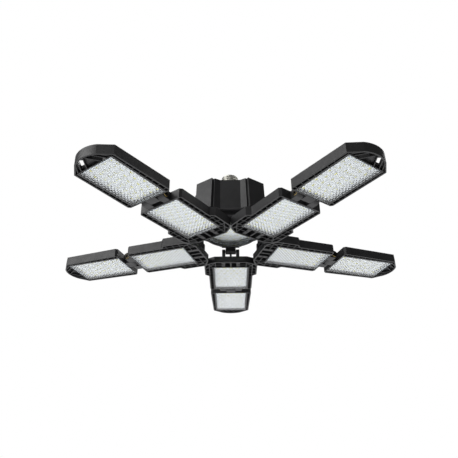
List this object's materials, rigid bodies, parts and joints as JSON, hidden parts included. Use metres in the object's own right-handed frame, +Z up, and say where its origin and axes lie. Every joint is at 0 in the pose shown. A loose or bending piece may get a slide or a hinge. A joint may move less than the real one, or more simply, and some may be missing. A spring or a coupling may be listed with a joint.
{
  "type": "deformable garage ceiling light",
  "caption": "Screw-in ceiling light: a driver housing with a round lamp under it and folding arms of hinged LED panels around it.",
  "frame": {"origin": "on the lamp's axis, at the open lower end of the screw shell", "axes": "+Z up along the lamp's axis, out of the screw base; +Y along the centre line of arm 1"},
  "size_m": [0.5338, 0.5111, 0.1329],
  "materials": {
    "black_plastic": "fine moulded texture",
    "nickel_shell": "nickel plated",
    "black_insulator": "glazed",
    "contact_metal": "tinned",
    "milky_lens": "prismatic, milky",
    "clear_lens": "clear prismatic polycarbonate",
    "led_board": "white solder mask",
    "heat_sink": "satin",
    "driver_laminate": "solder mask",
    "transformer": "ferrite",
    "capacitor_sleeve": "shrink sleeve",
    "zinc_steel": "zinc plated",
    "brass_bolt": "yellow zinc"
  },
  "bodies": {
    "hub": {"driver_housing": "black_plastic", "hub_base": "black_plastic", "lamp_neck": "black_plastic", "screw_shell": "nickel_shell", "shell_insulator": "black_insulator", "base_contact": "contact_metal", "hub_lens_ring": "black_plastic", "hub_lens": "milky_lens", "hub_led_board": "led_board", "hub_heat_sink": "heat_sink", "driver_board": "driver_laminate", "transformer": "transformer", "capacitors": "capacitor_sleeve", "housing_screws": "zinc_steel", "root_hinge_bolts": "zinc_steel"},
    "inner_panel_1": {"inner_frame_1": "black_plastic", "inner_lens_1": "clear_lens", "inner_led_board_1": "led_board", "inner_heat_sink_1": "heat_sink", "hinge_bolt_1": "brass_bolt"},
    "outer_panel_1": {"outer_frame_1": "black_plastic", "outer_lens_1": "clear_lens", "outer_led_board_1": "led_board", "outer_heat_sink_1": "heat_sink"},
    "inner_panel_2": {"inner_frame_2": "black_plastic", "inner_lens_2": "clear_lens", "inner_led_board_2": "led_board", "inner_heat_sink_2": "heat_sink", "hinge_bolt_2": "brass_bolt"},
    "outer_panel_2": {"outer_frame_2": "black_plastic", "outer_lens_2": "clear_lens", "outer_led_board_2": "led_board", "outer_heat_sink_2": "heat_sink"},
    "inner_panel_3": {"inner_frame_3": "black_plastic", "inner_lens_3": "clear_lens", "inner_led_board_3": "led_board", "inner_heat_sink_3": "heat_sink", "hinge_bolt_3": "brass_bolt"},
    "outer_panel_3": {"outer_frame_3": "black_plastic", "outer_lens_3": "clear_lens", "outer_led_board_3": "led_board", "outer_heat_sink_3": "heat_sink"},
    "inner_panel_4": {"inner_frame_4": "black_plastic", "inner_lens_4": "clear_lens", "inner_led_board_4": "led_board", "inner_heat_sink_4": "heat_sink", "hinge_bolt_4": "brass_bolt"},
    "outer_panel_4": {"outer_frame_4": "black_plastic", "outer_lens_4": "clear_lens", "outer_led_board_4": "led_board", "outer_heat_sink_4": "heat_sink"},
    "inner_panel_5": {"inner_frame_5": "black_plastic", "inner_lens_5": "clear_lens", "inner_led_board_5": "led_board", "inner_heat_sink_5": "heat_sink", "hinge_bolt_5": "brass_bolt"},
    "outer_panel_5": {"outer_frame_5": "black_plastic", "outer_lens_5": "clear_lens", "outer_led_board_5": "led_board", "outer_heat_sink_5": "heat_sink"}
  },
  "joints": [
    {"name": "arm_fold_1", "type": "hinge", "parent": "hub", "child": "inner_panel_1", "pos_m": [0, 0.0505, -0.086], "axis": [1, 0, 0], "range_deg": [0, 45]},
    {"name": "panel_tilt_1", "type": "hinge", "parent": "inner_panel_1", "child": "outer_panel_1", "pos_m": [0, 0.1632, -0.1005], "axis": [1, 0, 0], "range_deg": [-90, 90]},
    {"name": "arm_fold_2", "type": "hinge", "parent": "hub", "child": "inner_panel_2", "pos_m": [-0.04803, 0.01561, -0.086], "axis": [0.309, 0.9511, 0], "range_deg": [0, 45]},
    {"name": "panel_tilt_2", "type": "hinge", "parent": "inner_panel_2", "child": "outer_panel_2", "pos_m": [-0.15521, 0.05043, -0.1005], "axis": [0.309, 0.9511, 0], "range_deg": [-90, 90]},
    {"name": "arm_fold_3", "type": "hinge", "parent": "hub", "child": "inner_panel_3", "pos_m": [-0.02968, -0.04086, -0.086], "axis": [-0.809, 0.5878, 0], "range_deg": [0, 45]},
    {"name": "panel_tilt_3", "type": "hinge", "parent": "inner_panel_3", "child": "outer_panel_3", "pos_m": [-0.09593, -0.13203, -0.1005], "axis": [-0.809, 0.5878, 0], "range_deg": [-90, 90]},
    {"name": "arm_fold_4", "type": "hinge", "parent": "hub", "child": "inner_panel_4", "pos_m": [0.02968, -0.04086, -0.086], "axis": [-0.809, -0.5878, 0], "range_deg": [0, 45]},
    {"name": "panel_tilt_4", "type": "hinge", "parent": "inner_panel_4", "child": "outer_panel_4", "pos_m": [0.09593, -0.13203, -0.1005], "axis": [-0.809, -0.5878, 0], "range_deg": [-90, 90]},
    {"name": "arm_fold_5", "type": "hinge", "parent": "hub", "child": "inner_panel_5", "pos_m": [0.04803, 0.01561, -0.086], "axis": [0.309, -0.9511, 0], "range_deg": [0, 45]},
    {"name": "panel_tilt_5", "type": "hinge", "parent": "inner_panel_5", "child": "outer_panel_5", "pos_m": [0.15521, 0.05043, -0.1005], "axis": [0.309, -0.9511, 0], "range_deg": [-90, 90]}
  ]
}
